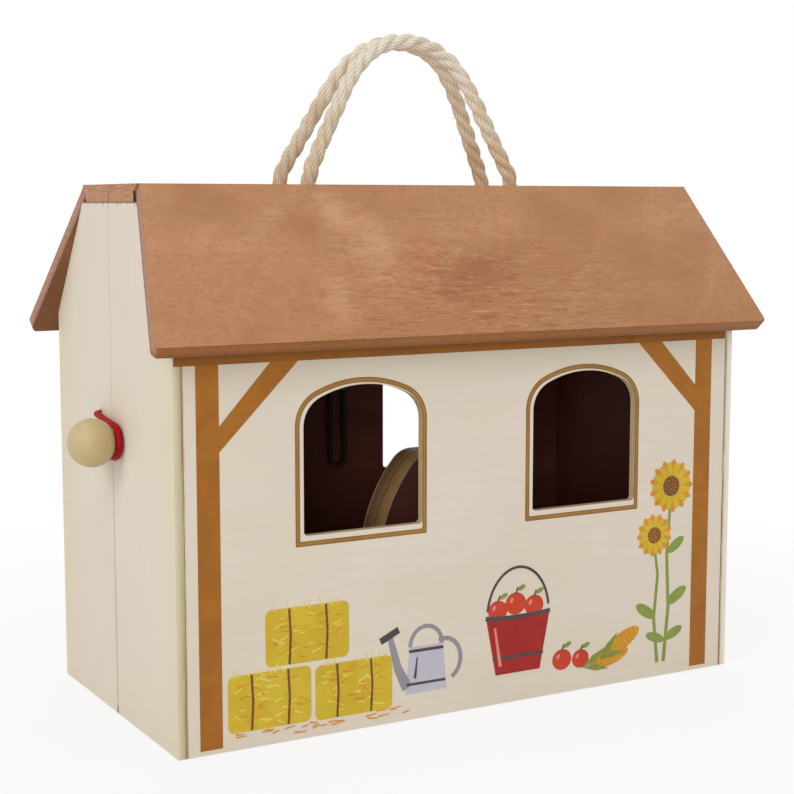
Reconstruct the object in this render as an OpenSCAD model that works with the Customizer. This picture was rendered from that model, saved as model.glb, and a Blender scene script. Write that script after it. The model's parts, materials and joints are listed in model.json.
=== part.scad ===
// A plywood play barn that opens like a book.
// Two mirrored halves stand back to back and turn on butt hinges at the right gable.
// An elastic loop over a ball knob keeps them shut, and each half has its own rope handle.
// X runs along the barn, the front is at -Y, and the origin is the middle of the footprint.

/* [Body] */
// Length of the barn over the gables
body_l = 300; // [240:1:380]
// Depth of the closed barn over both walls
body_d = 150; // [130:1:180]
// Height of the gables
gable_h = 236; // [215:1:290]
// Thickness of walls and gables
wall_t = 4; // [3:0.5:6]
// Thickness of the floors
floor_t = 4; // [3:0.5:6]
// Gap between the two closed halves
seam_gap = 0.5; // [0.4:0.1:2]
// Gap at each end of a wall, between the gables
wall_gap = 0.25; // [0.1:0.05:0.8]

/* [Roof] */
// Slope of the roof in degrees
roof_pitch = 53.3; // [45:0.1:58]
// Thickness of the roof panels
roof_t = 6; // [4:0.5:9]
// How far the eaves run down past the walls, level
eave_drop_y = 11.2; // [6:0.1:14]
// Angle of the eave's end cut off square, in degrees
eave_cut = 12; // [0:1:25]
// How far the eave ends stand out past the gables
eave_over = 11.9; // [6:0.1:14]
// How far the ridge ends stay back from the gables
ridge_back = 0.5; // [0:0.1:3]
// How far a roof panel's upper corners stay back from the gables
panel_back = 1.5; // [0:0.1:3]
// Rounding of the lower corners of a roof panel
eave_r = 3.5; // [2:0.5:10]
// Thickness of a ridge board
ridge_board_t = 4.7; // [3:0.1:7]
// Thickness of a ridge cap
ridge_cap_t = 3.3; // [2.5:0.1:3.6]
// Half width of the two ridge boards
ridge_half = 31.4; // [26:0.1:38]
// Gap between the ridge and the upper end of a roof panel
ridge_gap = 0.3; // [0.1:0.1:1]

/* [Windows] */
// Width of a window
win_w = 60; // [44:1:74]
// Height of a window
win_h = 65.4; // [48:0.1:78]
// Height of the sill above the table
win_sill = 91; // [70:1:110]
// Distance of a window's middle from the barn's middle
win_x = 60; // [50:1:80]
// Rise of the arch
win_rise = 17.5; // [15:0.5:24]
// Radius of the arch's shoulders
win_shoulder = 14; // [6:0.5:14]
// Rounding of the sill corners
win_r = 2; // [1:0.5:5]

/* [Stalls] */
// Width of a stall front
gate_w = 84; // [60:1:96]
// Height of a stall front above the table
gate_top = 111.6; // [100:0.1:121]
// Height where a stall front's sides start to curve in
gate_spring = 55; // [45:1:62]
// Radius of a stall front's side curves
gate_side_r = 80; // [66:1:110]
// Radius of a stall front's upper corners
gate_corner_r = 14; // [8:1:20]
// Thickness of a stall front
gate_t = 10; // [6:0.5:12]
// Middle of the stall front along the barn
gate_x = 25; // [-40:1:40]
// Gap between a stall front and the plane of the seam
gate_gap = 0.3; // [0.2:0.1:2]
// Height of a stall divider above the table
divider_h = 72; // [45:1:80]
// Thickness of a stall divider
divider_t = 6; // [4:0.5:9]
// Rounding of a divider's upper corner at the stall front
divider_r = 22; // [8:1:34]
// Diameter of the dowels under the stall fronts
dowel_d = 5; // [4:0.5:6]
// Length of a dowel in its stall front
dowel_in = 12; // [8:1:18]
// Distance of a dowel from the middle of its stall front
dowel_x = 24; // [14:1:30]

/* [Strap] */
// Height of the peg on the rear wall
peg_z = 141; // [120:1:150]
// Diameter of the peg
peg_d = 6; // [4:0.5:8]
// Length of the peg
peg_l = 9; // [6:0.5:14]
// Width of the hanging strap loop
strap_w = 10.5; // [9:0.5:14]
// Length of the hanging strap loop
strap_l = 52; // [36:1:60]
// Thickness of the strap seen from the front
strap_t = 2.2; // [1.4:0.1:2.6]
// Depth of the strap
strap_d = 3; // [1.5:0.5:4]

/* [Rope handles] */
// Diameter of the rope
rope_d = 7.5; // [6:0.1:7.6]
// Clearance of the rope in its holes, on the radius
rope_fit = 0.3; // [0.1:0.05:0.6]
// Distance of a rope hole from the seam
rope_y = 13.4; // [12:0.1:18]
// Stretch of the rear rope's left leg along the barn, as a factor
rear_spread = 1.04; // [1:0.01:1.08]
// Diameter of a rope knot
knot_d = 22; // [15:0.5:24]
// Height of a rope knot
knot_h = 16; // [10:0.5:18]
// Length of the rope end below a knot
rope_end = 9; // [4:1:14]

/* [Knob and elastic] */
// Diameter of the ball knob
knob_d = 22; // [18:0.5:26]
// Diameter of the knob's neck
knob_neck_d = 9; // [7:0.5:11]
// Distance from the gable to the middle of the ball
knob_out = 12.8; // [12.6:0.1:18]
// Distance of the knob from the seam
knob_y = 8.4; // [7:0.1:16]
// Height of the knob
knob_z = 129; // [100:0.5:150]
// Diameter of the elastic cord
elastic_d = 3; // [2:0.25:4]
// Radius of the elastic's loop round the neck, to its middle
elastic_r = 7.4; // [6.4:0.1:9]
// Distance of the elastic's middle from the gable
elastic_out = 2.4; // [2:0.1:3]
// Distance of the elastic's holes from the seam
elastic_y = 15.6; // [12:0.1:24]
// Half of the distance between the elastic's two holes
elastic_half = 10; // [6:0.5:16]
// Diameter of the elastic's knots
elastic_knot_d = 7; // [5:0.5:9]
// Height of the elastic's knots
elastic_knot_h = 4.5; // [3:0.5:6]
// Diameter of the knob screw
knob_screw_d = 3; // [2.5:0.25:4]

/* [Hinges] */
// Length of a hinge
hinge_l = 32; // [24:1:44]
// Width of one hinge leaf from the pin's axis
leaf_w = 17; // [12:0.5:22]
// Thickness of a leaf
leaf_t = 1.2; // [0.8:0.1:1.6]
// Outer diameter of a knuckle
knuckle_d = 5; // [4.5:0.1:6]
// Diameter of a hinge pin
pin_d = 2.4; // [1.8:0.1:2.6]
// Running clearance of the pin, on the radius
pin_fit = 0.06; // [0.03:0.01:0.1]
// Gap between knuckles, and between a knuckle and the other leaf
knuckle_gap = 0.4; // [0.3:0.05:0.8]
// Height of the lower hinge's middle
hinge_low = 44; // [34:1:60]
// Height of the upper hinge's middle
hinge_high = 150; // [120:1:156]
// Diameter of the hinge screws
screw_d = 2.4; // [2:0.1:3]
// Diameter of a hinge screw's head
screw_head_d = 4.8; // [4:0.1:5.6]

/* [Hidden] */

$fn = 64;
// Sides of the largest round shapes, of a rope and of the elastic
fine = 128;
rope_sides = 12;
elastic_sides = 8;
// Overshoot of a cut past the face it leaves through
cut = 1;
// Smallest clearance between glued pieces with round surfaces
glue_fit = 0.05;
// Clearance of a roof panel over the gables that it is glued to
lay_gap = 0.01;
// How far an arc crosses the one that it meets, so that no sliver is left between them
graze = 0.002;

// Outer face of a gable, and inner face of a gable
gable_out = body_l / 2;
gable_in = gable_out - wall_t;
// Outer face of the walls, and inner face of the walls
wall_out = body_d / 2;
wall_in = wall_out - wall_t;
// Distance of each half from the plane of the seam
half_gap = seam_gap / 2;

ridge_top = gable_h + ridge_board_t + ridge_cap_t;
slope = tan(roof_pitch);
// Upper inner corner of a roof panel, whose upper outer corner is level with the ridge
panel_in_y = ridge_half + ridge_gap;
panel_in_z = ridge_top - roof_t * cos(roof_pitch);
function under_z(y) = panel_in_z - (y - panel_in_y) * slope;
gable_flat = panel_in_y + (panel_in_z - gable_h) / slope;
gable_eave_z = under_z(wall_out);
// Slant length of a roof panel's outer face, and half of its length at the ridge and at the eave
panel_len = (wall_out + eave_drop_y - panel_in_y - roof_t * sin(roof_pitch)) / cos(roof_pitch);
panel_top_half = gable_out - panel_back;
panel_eave_half = gable_out + eave_over;
// The blank of a roof panel before its eave is cut: the least that the cut takes off, and its size
eave_spare = 0.3;
blank_len = panel_len + roof_t * tan(eave_cut) + eave_spare;
blank_half = panel_top_half + (panel_eave_half - panel_top_half) * blank_len / panel_len;
ridge_end = gable_out - ridge_back;

// The hinge axis lies outside the right gable, clear of its face
axis_x = gable_out + knuckle_d / 2 + knuckle_gap;
hinge_zs = [hinge_low, hinge_high];
knuckle_n = 5;
knuckle_l = (hinge_l - (knuckle_n - 1) * knuckle_gap) / knuckle_n;
// How far the fingers of a leaf end before the plane of the seam
finger_back = 0.8;

// Route of the rope handles from foot to foot: distance along the barn and height over the ridge
rope_route = [
    [-56, 4], [-52, 13], [-47, 22], [-42, 31], [-37, 40], [-32, 48.5],
    [-26, 56.5], [-18, 63.5], [-9, 68], [1, 69.5], [10, 68.5], [19, 65], [27, 59],
    [33, 51.5], [38, 42.5], [42.5, 33], [47, 23.5], [51.5, 14], [56, 4]
];
rope_x = rope_route[len(rope_route) - 1][0];
// Place along the barn of a point of a rope whose left leg is stretched
function spread_x(x, spread) = x < 0 ? x * spread : x;
// The two ropes lean together, and this is how far each stays from the seam at the top
rope_top_y = 4.2;
rope_foot_z = ridge_top + rope_route[0][1];
// Angles of the rings that close a rope's foot to a dome
dome_steps = [25, 55, 78];
rope_top_z = ridge_top + max([for (p = rope_route) p[1]]);

// Place of the screws in a hinge leaf: distance from the seam, and half of their spacing
screw_out = (leaf_w + knuckle_d / 2 + knuckle_gap) / 2 + 1;
screw_up = hinge_l / 4;
screw_l = 4.4;

// Pan head of the knob screw
pan_d = knob_screw_d * 2.4;
pan_h = knob_screw_d * 0.7;
// Angles round the neck where the elastic's loop begins, its step, and where it ends
turn_from = 84;
turn_step = 16;
turn_to = 276;
// How much the elastic's two arms close in as they bend, as a share of the bend
elastic_pinch = 0.15;

// The peg's head: thickness, and how much wider it is
peg_head_t = 2;
peg_head_over = 3;
// Clearance of the strap over the peg, and its distance from the wall
strap_fit = 0.1;
strap_off = 1.5;

// Colours
cream = [0.86, 0.82, 0.75];
ply = [0.83, 0.74, 0.60];
roof_brown = [0.72, 0.50, 0.36];
inner_brown = [0.36, 0.20, 0.14];
rope_tan = [0.86, 0.78, 0.64];
elastic_red = [0.80, 0.08, 0.10];
strap_black = [0.12, 0.09, 0.08];
brass = [0.78, 0.64, 0.33];
steel = [0.70, 0.71, 0.73];

// Mirrors a front piece to the rear
module rear() {
    mirror([0, 1, 0]) children();
}

// Turns a drawing of length against height into a board with its face at -Y, y0 to y1
module upright_x(y0, y1) {
    translate([0, y1, 0]) rotate([90, 0, 0]) linear_extrude(y1 - y0) children();
}

// Turns a drawing of depth against height into a board from x0 to x1
module upright_y(x0, x1) {
    translate([x0, 0, 0]) rotate([90, 0, 90]) linear_extrude(x1 - x0) children();
}

// A round bar along X from x0 to x1
module bar_x(d, x0, x1) {
    translate([x0, 0, 0]) rotate([0, 90, 0]) cylinder(d = d, h = x1 - x0);
}

// A convex outline, listed anticlockwise, whose corners are rounded by the radii
module rounded(points, radii) {
    n = len(points);
    function back(i) = unit(points[(i + n - 1) % n] - points[i]);
    function ahead(i) = unit(points[(i + 1) % n] - points[i]);
    function half_angle(i) = acos(back(i) * ahead(i)) / 2;
    function run(i) = radii[i] / tan(half_angle(i));
    function centre(i) = points[i] + unit(back(i) + ahead(i)) * radii[i] / sin(half_angle(i));
    polygon([for (i = [0:n - 1]) for (p = [points[i] + back(i) * run(i), points[i] + ahead(i) * run(i)]) p]);
    for (i = [0:n - 1]) if (radii[i] > 0) translate(centre(i)) circle(radii[i]);
}

// The window: a three-centred arch on straight sides, standing on y = 0
module window_shape() {
    a = win_w / 2;
    big = (pow(a - win_shoulder, 2) + pow(win_rise, 2) - pow(win_shoulder, 2))
        / (2 * (win_rise - win_shoulder));
    spring = win_h - win_rise;
    drop = win_rise - big;
    reach = (a - win_shoulder) * big / (big - win_shoulder);
    rounded([[-a, 0], [a, 0], [a, spring], [-a, spring]], [win_r, win_r, 0, 0]);
    for (s = [-1, 1]) translate([s * (a - win_shoulder), spring]) circle(win_shoulder);
    translate([0, spring]) intersection() {
        translate([0, drop]) circle(big, $fn = fine);
        polygon([[0, drop], [reach, drop - drop * reach / (a - win_shoulder)],
            [reach, win_rise], [-reach, win_rise], [-reach, drop - drop * reach / (a - win_shoulder)]]);
        translate([-a, -win_shoulder]) square([win_w, win_rise + win_shoulder]);
    }
}

module wall_shape() {
    difference() {
        x = gable_in - wall_gap;
        polygon([[-x, 0], [x, 0], [x, gable_eave_z], [-x, gable_eave_z]]);
        for (s = [-1, 1]) translate([s * win_x, win_sill]) window_shape();
    }
}

module wall() {
    color(cream) upright_x(-wall_out, -wall_in) wall_shape();
}

module floor_board() {
    x = gable_in - wall_gap;
    color(inner_brown) difference() {
        translate([-x, -wall_in, 0]) cube([2 * x, wall_in - half_gap, floor_t]);
        dowels(dowel_d + 2 * glue_fit);
    }
}

// Half of a gable, standing between the wall and the seam
module gable_shape() {
    polygon([[-wall_out, 0], [-half_gap, 0], [-half_gap, gable_h],
        [-gable_flat, gable_h], [-wall_out, gable_eave_z]]);
}

module left_gable() {
    upright_y(-gable_out, -gable_in) gable_shape();
}

module right_gable() {
    difference() {
        upright_y(gable_in, gable_out) gable_shape();
        hinge_screw_shafts(glue_fit);
    }
}

module front_left_gable() {
    color(cream) difference() {
        left_gable();
        translate([0, -knob_y, knob_z]) bar_x(knob_screw_d + 2 * glue_fit, -gable_out - cut, -gable_in + cut);
    }
}

module rear_left_gable() {
    color(cream) difference() {
        rear() left_gable();
        for (s = [-1, 1]) translate([0, elastic_y, knob_z + s * elastic_half])
            bar_x(elastic_d + 2 * rope_fit, -gable_out - cut, -gable_in + cut);
    }
}

// A roof panel: a trapezoid that is wider at the eave, laid on the slopes of the gables.
// The end at the eave is cut a little towards plumb.
module roof_panel() {
    lean = tan(eave_cut);
    color(roof_brown)
        translate([0, -panel_in_y, panel_in_z + lay_gap]) rotate([roof_pitch, 0, 0]) mirror([0, 1, 0])
            intersection() {
                linear_extrude(roof_t) rounded(
                    [[-panel_top_half, 0], [panel_top_half, 0],
                        [blank_half, blank_len], [-blank_half, blank_len]],
                    [0, 0, eave_r, eave_r]);
                upright_y(-blank_half - cut, blank_half + cut) polygon([
                    [-cut, -cut], [panel_len + (roof_t + cut) * lean, -cut],
                    [panel_len - cut * lean, roof_t + cut], [-cut, roof_t + cut]]);
            }
}

module rope_holes(z, t, spread) {
    for (s = [-1, 1]) translate([spread_x(s * rope_x, spread), -rope_y, z - cut])
        cylinder(d = rope_d + 2 * rope_fit, h = t + 2 * cut);
}

module ridge_board(spread = 1) {
    color(ply) difference() {
        translate([-ridge_end, -ridge_half, gable_h])
            cube([2 * ridge_end, ridge_half - half_gap, ridge_board_t]);
        rope_holes(gable_h, ridge_board_t, spread);
    }
}

// The cap's outer edge leans out like the upper ends of the roof panels
module ridge_cap(spread = 1) {
    z = gable_h + ridge_board_t;
    function edge_y(z) = panel_in_y + (z - panel_in_z) * slope - ridge_gap / cos(roof_pitch);
    color(roof_brown) difference() {
        upright_y(-ridge_end, ridge_end) polygon([
            [-half_gap, z], [-half_gap, ridge_top], [-edge_y(ridge_top), ridge_top], [-edge_y(z), z]]);
        rope_holes(z, ridge_cap_t, spread);
    }
}

// Outline of a stall front: straight below, then long side curves and rounded upper corners
module stall_shape() {
    half = gate_w / 2;
    swing = gate_side_r - gate_corner_r;
    turn = asin((gate_top - gate_spring - gate_corner_r) / swing);
    corner_x = half - gate_side_r + swing * cos(turn);
    corner_z = gate_top - gate_corner_r;
    // A point beyond the place where a side curve meets its corner
    out_x = corner_x + (gate_corner_r + cut) * cos(turn);
    out_z = corner_z + (gate_corner_r + cut) * sin(turn);
    translate([-half, floor_t]) square([gate_w, gate_spring - floor_t]);
    intersection() {
        translate([gate_side_r - half, gate_spring]) circle(gate_side_r, $fn = fine);
        translate([half - gate_side_r, gate_spring]) circle(gate_side_r, $fn = fine);
        polygon([[-half - cut, gate_spring], [half + cut, gate_spring], [half + cut, out_z],
            [out_x, out_z], [corner_x, corner_z], [-corner_x, corner_z],
            [-out_x, out_z], [-half - cut, out_z]]);
    }
    for (s = [-1, 1]) translate([s * corner_x, corner_z]) circle(gate_corner_r + graze);
    translate([-corner_x, gate_spring]) square([2 * corner_x, gate_top - gate_spring]);
}

// Stall front: a board with a rounded top that stands at the seam
module stall_front() {
    color(inner_brown) difference() {
        upright_x(-gate_gap - gate_t, -gate_gap) translate([gate_x, 0]) stall_shape();
        dowels(dowel_d + 2 * glue_fit);
    }
}

module dowels(d) {
    for (s = [-1, 1]) translate([gate_x + s * dowel_x, -gate_gap - gate_t / 2, 0])
        cylinder(d = d, h = floor_t + dowel_in);
}

module stall_dowels() {
    color(ply) dowels(dowel_d);
}

// Stall divider: runs from the wall to the stall front, with one rounded upper corner
module stall_divider() {
    y0 = -wall_in;
    y1 = -gate_gap - gate_t;
    color(inner_brown) upright_y(gate_x - divider_t / 2, gate_x + divider_t / 2)
        rounded([[y0, floor_t], [y1, floor_t], [y1, divider_h], [y0, divider_h]], [0, 0, divider_r, 0]);
}

// Rope: the height of a point tells how far the rope leans towards the seam
function rope_lean(z) = rope_y - (rope_y - rope_top_y) * (z - rope_foot_z) / (rope_top_z - rope_foot_z);
function rope_points(spread) = [for (p = rope_route)
    [spread_x(p[0], spread), -rope_lean(ridge_top + p[1]), ridge_top + p[1]]];

function unit(v) = v / norm(v);

// The direction of a line of points at point i
function along(points, i) = unit(points[min(i + 1, len(points) - 1)] - points[max(i - 1, 0)]);

// The part of v that is square to t, at length 1
function square_to(v, t) = unit(v - t * (v * t));

// A spoke for each point, carried along the line so that it never twists
function spokes(points, i, v) = i == len(points) ? []
    : let (w = square_to(v, along(points, i))) concat([w], spokes(points, i + 1, w));

// The first spoke's rough direction, which is along no tube
spoke_seed = [0.1, 0.2, 1];

// Sweeps a round tube along points; its two ends close to a dome where dome is true
module tube(points, d, sides, dome = false) {
    n = len(points);
    start = along(points, 0);
    end = along(points, n - 1);
    spoke = spokes(points, 0, spoke_seed);
    function ring(p, t, v, r) = [for (k = [0:sides - 1])
        p + r * (v * cos(360 * k / sides) + cross(t, v) * sin(360 * k / sides))];
    steps = dome ? dome_steps : [];
    first = [for (a = [len(steps) - 1:-1:0])
        ring(points[0] - start * d / 2 * sin(steps[a]), start, spoke[0], d / 2 * cos(steps[a]))];
    last = [for (a = steps)
        ring(points[n - 1] + end * d / 2 * sin(a), end, spoke[n - 1], d / 2 * cos(a))];
    middle = [for (i = [0:n - 1]) ring(points[i], along(points, i), spoke[i], d / 2)];
    rings = concat(first, middle, last);
    m = len(rings);
    polyhedron(
        [for (r = rings) for (p = r) p],
        concat(
            [[for (k = [0:sides - 1]) k]],
            [for (i = [0:m - 2]) for (k = [0:sides - 1]) for (h = [0, 1])
                let (a = i * sides + k, b = i * sides + (k + 1) % sides)
                h == 0 ? [a, a + sides, b + sides] : [a, b + sides, b]],
            [[for (k = [sides - 1:-1:0]) (m - 1) * sides + k]]
        ));
}

module rope_handle(spread = 1) {
    color(rope_tan) tube(rope_points(spread), rope_d, rope_sides, true);
}

// The rope's two stretches through the ridge, each with a knot and a short end below it
module rope_knots(spread = 1) {
    end_z = gable_h - knot_h - rope_end;
    color(rope_tan) for (s = [-1, 1])
        translate([spread_x(s * rope_x, spread), -rope_y, 0]) rotate_extrude() {
            translate([0, end_z]) square([rope_d / 2, ridge_top - end_z]);
            translate([0, gable_h - knot_h]) knot_profile(knot_d, knot_h);
        }
}

// Half of the outline of a knot, d wide and h high, standing on y = 0 beside the Y axis
module knot_profile(d, h) {
    square([(d - h) / 2, h]);
    translate([(d - h) / 2, h / 2]) intersection() {
        circle(d = h);
        translate([0, -h / 2]) square([h / 2, h]);
    }
}

// Hinge knuckles: the rear leaf has the odd ones and the front leaf the even ones
module knuckle_span(k) {
    translate([0, 0, -hinge_l / 2 + k * (knuckle_l + knuckle_gap)]) children();
}

module hinge_leaf(first) {
    edge = knuckle_d / 2 + knuckle_gap;
    difference() {
        union() {
            translate([gable_out, -leaf_w, -hinge_l / 2]) cube([leaf_t, leaf_w - edge, hinge_l]);
            for (k = [first:2:knuckle_n - 1]) knuckle_span(k) {
                translate([axis_x, 0, 0]) cylinder(d = knuckle_d, h = knuckle_l);
                translate([gable_out, -edge - cut, 0]) cube([leaf_t, edge + cut - finger_back, knuckle_l]);
            }
        }
        translate([axis_x, 0, -hinge_l / 2 - cut])
            cylinder(d = pin_d + 2 * pin_fit, h = hinge_l + 2 * cut);
        for (s = [-1, 1]) translate([0, -screw_out, s * screw_up]) screw(glue_fit);
    }
}

module rear_hinge_leaves() {
    color(brass) for (z = hinge_zs) translate([0, 0, z]) rear() hinge_leaf(0);
}

module front_hinge_leaves() {
    color(brass) for (z = hinge_zs) translate([0, 0, z]) hinge_leaf(1);
}

module hinge_pins() {
    color(steel) for (z = hinge_zs) translate([axis_x, 0, z - hinge_l / 2]) {
        cylinder(d = pin_d, h = hinge_l + knuckle_gap);
        translate([0, 0, hinge_l + knuckle_gap]) cylinder(d = knuckle_d, h = leaf_t);
    }
}

// A countersunk screw along X whose head lies flush with the leaf, grown by grow all round
module screw(grow) {
    head = (screw_head_d - screw_d) / 2;
    rotate([0, 90, 0]) rotate_extrude() polygon([
        [0, gable_out + leaf_t - screw_l], [screw_d / 2 + grow, gable_out + leaf_t - screw_l],
        [screw_d / 2 + grow, gable_out + leaf_t - head], [screw_head_d / 2 + grow, gable_out + leaf_t],
        [screw_head_d / 2 + grow, gable_out + leaf_t + (grow > 0 ? cut : 0)],
        [0, gable_out + leaf_t + (grow > 0 ? cut : 0)]
    ]);
}

module hinge_screws() {
    color(brass) for (z = hinge_zs) for (s = [-1, 1])
        translate([0, -screw_out, z + s * screw_up]) screw(0);
}

// The holes that the hinge screws make in the gable
module hinge_screw_shafts(grow) {
    for (z = hinge_zs) for (s = [-1, 1]) translate([0, -screw_out, z + s * screw_up]) screw(grow);
}

module knob() {
    color(ply) translate([0, -knob_y, knob_z]) difference() {
        union() {
            translate([-gable_out - knob_out, 0, 0]) sphere(d = knob_d, $fn = 96);
            bar_x(knob_neck_d, -gable_out - knob_out, -gable_out);
        }
        bar_x(knob_screw_d + 2 * glue_fit, -gable_out - knob_out, -gable_out + cut);
    }
}

// The knob screw has a pan head inside the gable and ends in the ball
module knob_screw() {
    color(steel) translate([0, -knob_y, knob_z]) {
        bar_x(knob_screw_d, -gable_out - knob_out + cut, -gable_in);
        bar_x(pan_d, -gable_in, -gable_in + pan_h);
    }
}

// The elastic leaves the rear gable, goes round the knob's neck and back
elastic_x = -gable_out - elastic_out;
elastic_turns = [for (a = [turn_from:turn_step:turn_to])
    [elastic_x, -knob_y + elastic_r * cos(a), knob_z + elastic_r * sin(a)]];
elastic_bend = [for (a = [0:22.5:67.5]) [1 - cos(a), sin(a)]];

function elastic_arm(s) = concat(
    [[-gable_in, elastic_y, knob_z + s * elastic_half]],
    [for (b = elastic_bend) [-gable_out - elastic_out * b[1],
        elastic_y - elastic_out * b[0],
        knob_z + s * (elastic_half - elastic_out * b[0] * elastic_pinch)]]);

module elastic_loop() {
    back = elastic_arm(-1);
    route = concat(elastic_arm(1), elastic_turns, [for (i = [len(back) - 1:-1:0]) back[i]]);
    color(elastic_red) tube(route, elastic_d, elastic_sides);
}

module elastic_knots() {
    color(elastic_red) for (s = [-1, 1]) translate([-gable_in, elastic_y, knob_z + s * elastic_half])
        rotate([0, 90, 0]) rotate_extrude() knot_profile(elastic_knot_d, elastic_knot_h);
}

// A short peg in the rear wall with a round head, and a dark strap that hangs from it
module strap_peg() {
    color(inner_brown) translate([0, wall_in, peg_z]) rotate([90, 0, 0]) {
        cylinder(d = peg_d, h = peg_l);
        translate([0, 0, peg_l - peg_head_t]) cylinder(d = peg_d + peg_head_over, h = peg_head_t);
    }
}

// The strap loop: two straight arms, a round bottom, and a round top that sits on the peg
module tack_strap() {
    r = strap_w / 2;
    top = peg_z + peg_d / 2 + strap_fit - r + strap_t;
    low = top - strap_l + strap_w;
    color(strap_black) upright_x(wall_in - strap_off - strap_d, wall_in - strap_off) {
        for (s = [-1, 1]) translate([s * (r - strap_t / 2) - strap_t / 2, low]) square([strap_t, top - low]);
        for (e = [[top, 0], [low, 180]]) translate([0, e[0]]) rotate(e[1]) intersection() {
            difference() {
                circle(r);
                circle(r - strap_t);
            }
            translate([-r, 0]) square([strap_w, r]);
        }
    }
}

module rear_wall() { rear() wall(); }
module rear_floor() { rear() floor_board(); }
module rear_right_gable() { color(cream) rear() right_gable(); }
module rear_roof_panel() { rear() roof_panel(); }
module rear_ridge_board() { rear() ridge_board(rear_spread); }
module rear_ridge_cap() { rear() ridge_cap(rear_spread); }
module rear_stall_front() { rear() stall_front(); }
module rear_stall_divider() { rear() stall_divider(); }
module rear_stall_dowels() { rear() stall_dowels(); }
module rear_rope_handle() { rear() rope_handle(rear_spread); }
module rear_rope_knots() { rear() rope_knots(rear_spread); }
module rear_hinge_screws() { rear() hinge_screws(); }

module front_wall() { wall(); }
module front_floor() { floor_board(); }
module front_right_gable() { color(cream) right_gable(); }
module front_roof_panel() { roof_panel(); }
module front_ridge_board() { ridge_board(); }
module front_ridge_cap() { ridge_cap(); }
module front_stall_front() { stall_front(); }
module front_stall_divider() { stall_divider(); }
module front_stall_dowels() { stall_dowels(); }
module front_rope_handle() { rope_handle(); }
module front_rope_knots() { rope_knots(); }
module front_hinge_screws() { hinge_screws(); }

rear_wall();
rear_floor();
rear_left_gable();
rear_right_gable();
rear_roof_panel();
rear_ridge_board();
rear_ridge_cap();
rear_stall_front();
rear_stall_divider();
rear_stall_dowels();
front_wall();
front_floor();
front_left_gable();
front_right_gable();
front_roof_panel();
front_ridge_board();
front_ridge_cap();
front_stall_front();
front_stall_divider();
front_stall_dowels();
rear_rope_handle();
front_rope_handle();
rear_rope_knots();
front_rope_knots();
rear_hinge_leaves();
front_hinge_leaves();
hinge_pins();
rear_hinge_screws();
front_hinge_screws();
knob();
knob_screw();
elastic_loop();
elastic_knots();
strap_peg();
tack_strap();
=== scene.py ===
"""A plywood play barn that opens like a book, finished for rendering."""

import json
import random
from dataclasses import dataclass
from functools import cache
from math import atan2, cos, degrees, hypot, pi, radians, sin, sqrt

import bpy
from mathutils import Matrix, Vector

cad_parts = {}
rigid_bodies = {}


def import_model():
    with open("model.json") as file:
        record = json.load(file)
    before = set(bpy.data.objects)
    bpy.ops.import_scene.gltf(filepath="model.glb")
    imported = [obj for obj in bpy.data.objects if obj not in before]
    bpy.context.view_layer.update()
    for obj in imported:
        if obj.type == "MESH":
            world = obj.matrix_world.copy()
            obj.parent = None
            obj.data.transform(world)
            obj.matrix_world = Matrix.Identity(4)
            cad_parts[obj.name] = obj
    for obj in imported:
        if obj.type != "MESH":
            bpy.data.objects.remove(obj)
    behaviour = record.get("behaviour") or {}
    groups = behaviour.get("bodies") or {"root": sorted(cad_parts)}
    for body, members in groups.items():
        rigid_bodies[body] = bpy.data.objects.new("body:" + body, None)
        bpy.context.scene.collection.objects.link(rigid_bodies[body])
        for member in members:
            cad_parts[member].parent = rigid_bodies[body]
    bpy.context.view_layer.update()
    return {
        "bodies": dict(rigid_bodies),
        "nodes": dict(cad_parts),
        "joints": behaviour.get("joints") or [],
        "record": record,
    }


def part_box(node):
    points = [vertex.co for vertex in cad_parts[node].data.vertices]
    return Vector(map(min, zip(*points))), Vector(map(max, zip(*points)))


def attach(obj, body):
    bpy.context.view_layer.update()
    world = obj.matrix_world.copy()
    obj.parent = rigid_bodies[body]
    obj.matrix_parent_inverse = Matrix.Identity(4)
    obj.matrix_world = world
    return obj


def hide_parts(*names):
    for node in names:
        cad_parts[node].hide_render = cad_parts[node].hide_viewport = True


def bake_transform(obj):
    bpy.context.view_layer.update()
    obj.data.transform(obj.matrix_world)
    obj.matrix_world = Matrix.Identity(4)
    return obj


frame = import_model()
nodes = frame["nodes"]
rng = random.Random(7)

MM = 0.001
HALVES = {"front": -1, "rear": 1}

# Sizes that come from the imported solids, in metres
wall_lo, wall_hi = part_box("front_wall")
gable_lo, gable_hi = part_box("front_left_gable")
cap_lo, cap_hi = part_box("front_ridge_cap")
board_lo, board_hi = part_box("front_ridge_board")
knob_lo, knob_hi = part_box("knob")
stall_lo, stall_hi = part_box("front_stall_front")
WALL_FACE = -wall_lo.y
WALL_T = wall_hi.y - wall_lo.y
WALL_TOP = wall_hi.z
GABLE_FACE = -gable_lo.x
GABLE_T = gable_hi.x - gable_lo.x
ROOF_T = 6 * MM
FLOOR_T = 4 * MM
RIDGE_TOP = cap_hi.z
RIDGE_UNDER = board_lo.z
STALL_FACE = -stall_lo.y
STALL_T = stall_hi.y - stall_lo.y


def add_object(name, data):
    """An object with the given data, in the scene."""
    made = bpy.data.objects.new(name, data)
    bpy.context.collection.objects.link(made)
    return made


def add_mesh(name, points, faces, material):
    mesh = bpy.data.meshes.new(name)
    mesh.from_pydata(points, [], faces)
    mesh.materials.append(material)
    return add_object(name, mesh)


def srgb(red, green, blue):
    """A colour read as 0 to 255 in sRGB, as a linear RGBA tuple."""
    def linear(v):
        v /= 255
        return v / 12.92 if v <= 0.04045 else ((v + 0.055) / 1.055) ** 2.4
    return (linear(red), linear(green), linear(blue), 1)


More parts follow.
